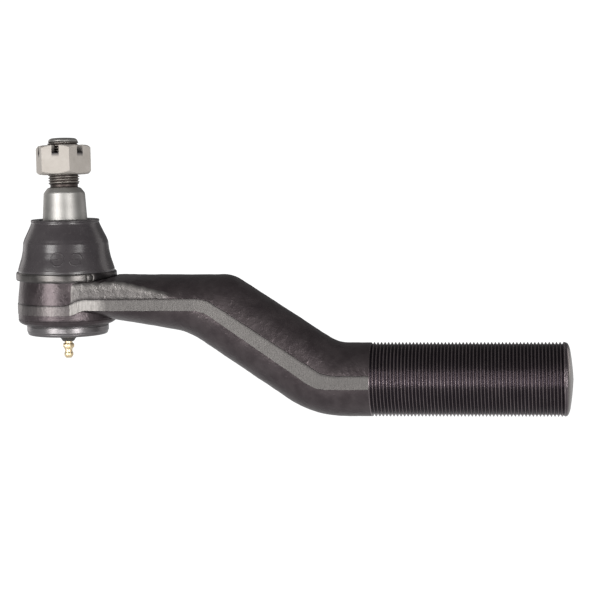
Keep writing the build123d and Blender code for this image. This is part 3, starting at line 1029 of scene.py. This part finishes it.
lipX, lipY = bootCentre(np.array(45.4))
lipLine = roundedLine(
    [(16.2, 45.46), (20.72, 45.46), (20.78, 46.0), (20.5, 46.62), (17.6, 46.5), (16.2, 46.2)], 0.25, closed=True
)
lipPoints = turned(lipLine, lambda x, y, z: onSocket(x + lipX, y + lipY, z), 200)
lipPiece = makePiece("bootLip", [lipPoints], rubber)
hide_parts("boot_lip_ring")
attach(lipPiece, "collar")

bushLine = roundedLine(
    [
        (taperRadius(39.4) + 0.06, 39.4), (15.7, 39.4), (15.7, 45.6), (15.3, 46.1), (14.4, 46.2),
        (taperRadius(45.8) + 0.06, 45.8),
    ],
    [0.1, 0.3, 0.2, 0.3, 0.3, 0.1], closed=True,
)
bushPiece = makePiece("bootBush", [turned(bushLine, onStud, 160)], bushRubber)
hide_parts("boot_bushing")
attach(bushPiece, "collar")

clampBand = {
    "line": [
        (29.95, 10.62), (30.2, 10.62), (30.46, 11.4), (30.49, 13.0), (30.44, 14.5), (30.05, 15.35), (29.45, 15.38),
        (29.45, 14.95), (29.9, 14.7),
    ],
    "cuts": [0.1, 0.3, 0.8, 1.2, 0.8, 0.4, 0.1, 0.1, 0.2],
    "notchAt": -52.6,  # degrees round the socket
    "bossAt": -48.9,
    "bossRadius": 2.1,
    "bossHeight": 12.9,
    "around": 30.9,  # radius at which distances round the band are measured
    "outermost": 30.49,
}


# The band is turned, then pressed in at its joint; a small domed rivet stands beside the joint.
def bandGrid():
    angle = np.linspace(-180, 180, 241)
    near = np.linspace(clampBand["notchAt"] - 3, clampBand["bossAt"] + 6, 70)
    angle = np.unique(np.round(np.concatenate((angle, near)), 4))[None, :]
    line = dividedLine(roundedLine(clampBand["line"], clampBand["cuts"], closed=True), 0.3)
    radius = line[:, :1] + 0 * angle
    height = line[:, 1:] + 0 * angle
    outer = smoothStep(radius, 30.0, 30.2)
    notchAt, bossAt, around = clampBand["notchAt"], clampBand["bossAt"], clampBand["around"]
    along = radians(1) * (angle - notchAt) * around
    notch = np.exp(-((along / 0.55) ** 2))
    away = np.hypot(radians(1) * (angle - bossAt) * around, height - clampBand["bossHeight"])
    dome = np.clip(1 - (away / clampBand["bossRadius"]) ** 2, 0, 1) ** 0.5
    moat = np.exp(-(((away - clampBand["bossRadius"] - 0.2) / 0.3) ** 2))
    sunk = smoothStep(angle, notchAt - 0.5, notchAt + 0.5) * (1 - smoothStep(angle, bossAt + 3, bossAt + 9))
    radius = radius - outer * (0.45 * notch + 0.32 * sunk + 0.1 * moat * sunk) + 0.3 * outer * dome * sunk
    radius = np.minimum(radius, clampBand["outermost"])
    # Painted shade: the band is darkened from about -45 to 20 degrees round the socket, on the side toward the arm.
    armSideShade = smoothStep(angle, -45.5, -41.5) * (1 - smoothStep(angle, 10, 30)) + 0 * radius
    angle = np.radians(angle)
    return onSocket(radius * np.cos(angle), radius * np.sin(angle), height), armSideShade


bandPoints, bandArmSideShade = bandGrid()
bandPiece = makePiece("clampBand", [bandPoints], band, {"armSideShade": [bandArmSideShade]}, sharp=40)
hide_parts("boot_base_ring")
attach(bandPiece, "housing")

stage = {
    "white": 1.1,  # what the camera sees of the floor and the surroundings
    "floorGlow": 0.62,  # what the object sees of the floor
    "around": 0.17,
    "floorDrop": 0.35,
    "floorReach": 30,
}


# White to the camera, and a quieter glow to the object.
def backdrop(owner, shader, output, quiet):
    nodes = Nodes(owner)
    seen = nodes.amount("ShaderNodeLightPath", "Is Camera Ray")
    strength = seen * (stage["white"] - quiet) + quiet
    made = nodes.node(shader, {}, {"Color": (1, 1, 1, 1), "Strength": strength})
    nodes.node(output, {}, {"Surface": made.outputs[0]})


floorMaterial = bpy.data.materials.new("paleFloor")
backdrop(floorMaterial, "ShaderNodeEmission", "ShaderNodeOutputMaterial", stage["floorGlow"])
floorMesh = bpy.data.meshes.new("floor")
floorZ = cadBox[0][2] - stage["floorDrop"]
corners = [(x * stage["floorReach"], y * stage["floorReach"], floorZ) for x, y in ((-1, -1), (1, -1), (1, 1), (-1, 1))]
floorMesh.from_pydata(corners, [], [(0, 1, 2, 3)])
floorMesh.materials.append(floorMaterial)
floor = bpy.data.objects.new("floor", floorMesh)
bpy.context.scene.collection.objects.link(floor)

world = bpy.data.worlds.new("studio")
bpy.context.scene.world = world
backdrop(world, "ShaderNodeBackground", "ShaderNodeOutputWorld", stage["around"])
bpy.context.scene.view_settings.view_transform = "Standard"

lamps = {  # turn from the front, rise, distance, width, height, watts, colour
    "leftBox": (-31, -2, 1.3, 0.5, 0.7, 8.5, (1.0, 0.985, 0.96)),
    "rightBox": (35, -1, 1.3, 0.42, 0.65, 9.5, (1.0, 0.985, 0.965)),
    "highLeft": (-31, 20, 1.3, 0.5, 0.32, 6, (1.0, 0.985, 0.97)),
    "highRight": (47, 22, 1.3, 0.42, 0.2, 2.2, (1.0, 0.985, 0.97)),
    "frontFill": (-7, -6, 1.5, 0.3, 0.3, 2.5, (1.0, 0.98, 0.97)),
    "backLeft": (-125, 12, 1.2, 0.5, 0.9, 1.5, (1.0, 0.95, 0.93)),
    "backRight": (128, 14, 1.3, 0.5, 0.9, 1.5, (1.0, 0.95, 0.93)),
}
aim = Vector((0.09, 0, 0.0))
for name, (turn, rise, distance, width, height, watts, colour) in lamps.items():
    light = bpy.data.lights.new(name, "AREA")
    light.shape = "RECTANGLE"
    light.size = width
    light.size_y = height
    light.energy = watts
    light.color = colour
    lamp = bpy.data.objects.new(name, light)
    turn, rise = radians(turn), radians(rise)
    lamp.location = aim + distance * Vector((sin(turn) * cos(rise), -cos(turn) * cos(rise), sin(rise)))
    lamp.rotation_euler = (lamp.location - aim).to_track_quat("Z", "Y").to_euler()
    bpy.context.scene.collection.objects.link(lamp)

view = {"aim": (0.1397, 0, 0), "turn": 7.5, "rise": 5.166, "roll": -0.951, "distance": 1.1753, "lens": 119.7}
turn, rise, roll = radians(view["turn"]), radians(view["rise"]), radians(view["roll"])
forward = Vector((-sin(turn) * cos(rise), cos(turn) * cos(rise), -sin(rise)))
right = Vector((cos(turn), sin(turn), 0))
up = right.cross(forward)
right, up = right * cos(roll) + up * sin(roll), up * cos(roll) - right * sin(roll)
cameraData = bpy.data.cameras.new("camera")
cameraData.lens = view["lens"]
cameraData.sensor_width = 36
camera = bpy.data.objects.new("camera", cameraData)
rotation = Matrix((right, up, -forward)).transposed().to_4x4()
camera.matrix_world = Matrix.Translation(Vector(view["aim"]) - view["distance"] * forward) @ rotation
bpy.context.scene.collection.objects.link(camera)
bpy.context.scene.camera = camera
print("stage set")

bpy.context.view_layer.update()
